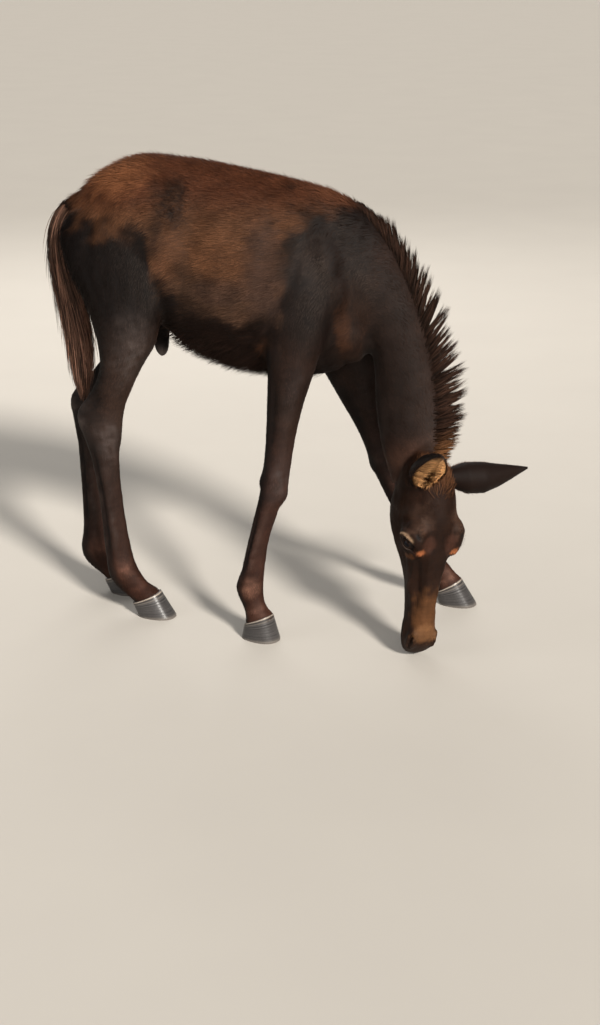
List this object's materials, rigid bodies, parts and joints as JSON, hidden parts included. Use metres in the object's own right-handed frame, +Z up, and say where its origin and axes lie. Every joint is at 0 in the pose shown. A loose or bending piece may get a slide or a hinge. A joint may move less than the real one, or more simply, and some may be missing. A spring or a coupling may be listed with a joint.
{
  "type": "mule foal",
  "caption": "Life-size still figure of a young mule foal standing with its head down to graze, long ears out, upright mane and short tail.",
  "frame": {"origin": "middle of the bounding box, on the floor under the four hooves", "axes": "+X the way the trunk heads, +Y the animal's left, +Z up"},
  "size_m": [1.0294, 0.48, 0.9889],
  "materials": {
    "brown_coat": "rusty brown foal coat over dark skin",
    "dark_coat": "short black-brown coat",
    "face_coat": "short dark brown coat, tan on the bridge of the nose",
    "tail_hair": "soft dark foal hair",
    "hoof": "slate grey horn, pale at the coronet and the worn toe",
    "eye": "wet dark brown eye"
  },
  "bodies": {
    "root": {"head": "face_coat", "neck": "dark_coat", "torso": "brown_coat", "hindquarters": "brown_coat", "tail": "tail_hair", "ear_right": "dark_coat", "ear_left": "dark_coat", "eye_right": "eye", "eye_left": "eye", "forearm_right": "dark_coat", "cannon_fore_right": "dark_coat", "pastern_fore_right": "dark_coat", "hoof_fore_right": "hoof", "forearm_left": "dark_coat", "cannon_fore_left": "dark_coat", "pastern_fore_left": "dark_coat", "hoof_fore_left": "hoof", "gaskin_right": "dark_coat", "cannon_hind_right": "dark_coat", "pastern_hind_right": "dark_coat", "hoof_hind_right": "hoof", "gaskin_left": "dark_coat", "cannon_hind_left": "dark_coat", "pastern_hind_left": "dark_coat", "hoof_hind_left": "hoof"}
  },
  "joints": []
}
